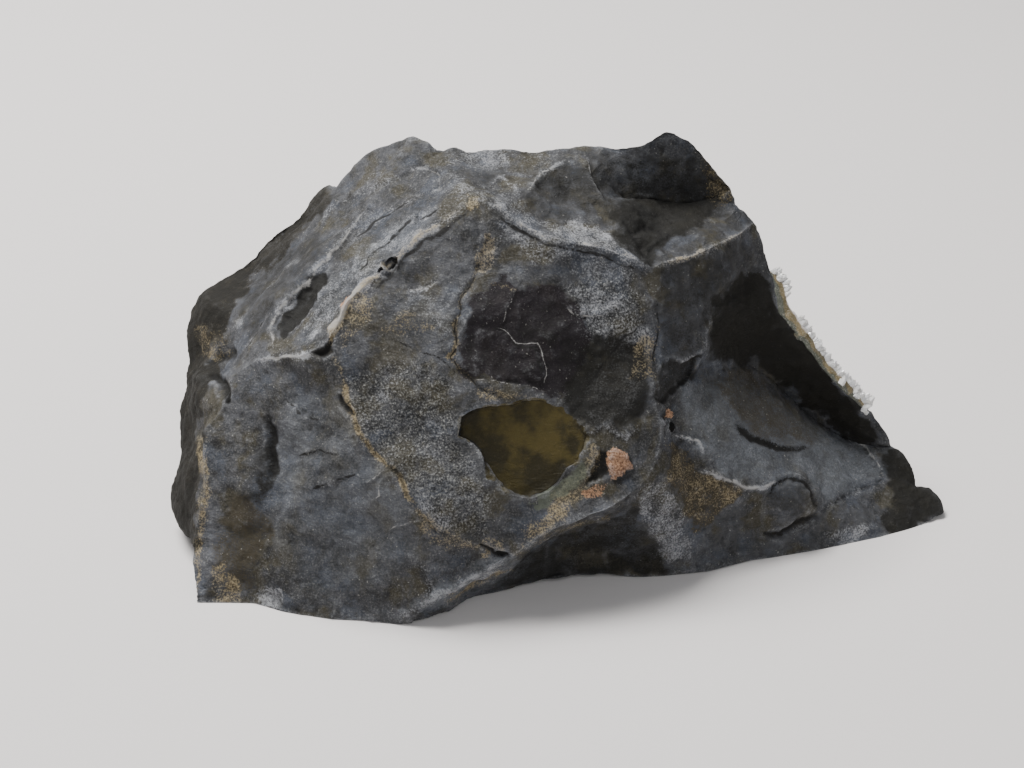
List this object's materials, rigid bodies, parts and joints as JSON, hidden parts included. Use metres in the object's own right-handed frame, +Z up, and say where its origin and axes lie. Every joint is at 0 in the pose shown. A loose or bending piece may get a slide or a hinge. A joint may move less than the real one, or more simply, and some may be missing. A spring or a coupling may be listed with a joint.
{
  "type": "amethyst geode piece",
  "caption": "Broken slab of dark basalt from a geode's wall, standing on a small flat spot, its hollow back lined with a crust of amethyst and white quartz crystals.",
  "frame": {"origin": "under the middle of the stone's box, on the surface it rests on", "axes": "+X to the right along the stone's length, +Y to the back that the crystal-lined hollow opens to, +Z up"},
  "size_m": [0.1281, 0.0592, 0.0589],
  "materials": {
    "basalt": "matt, weathered, blue-grey with pale crests and ochre stains",
    "amethyst": "glassy crystal faces, white at the rim and violet inside, on ochre chalcedony"
  },
  "bodies": {
    "root": {"basalt_matrix": "basalt", "crystal_crust": "amethyst"}
  },
  "joints": []
}
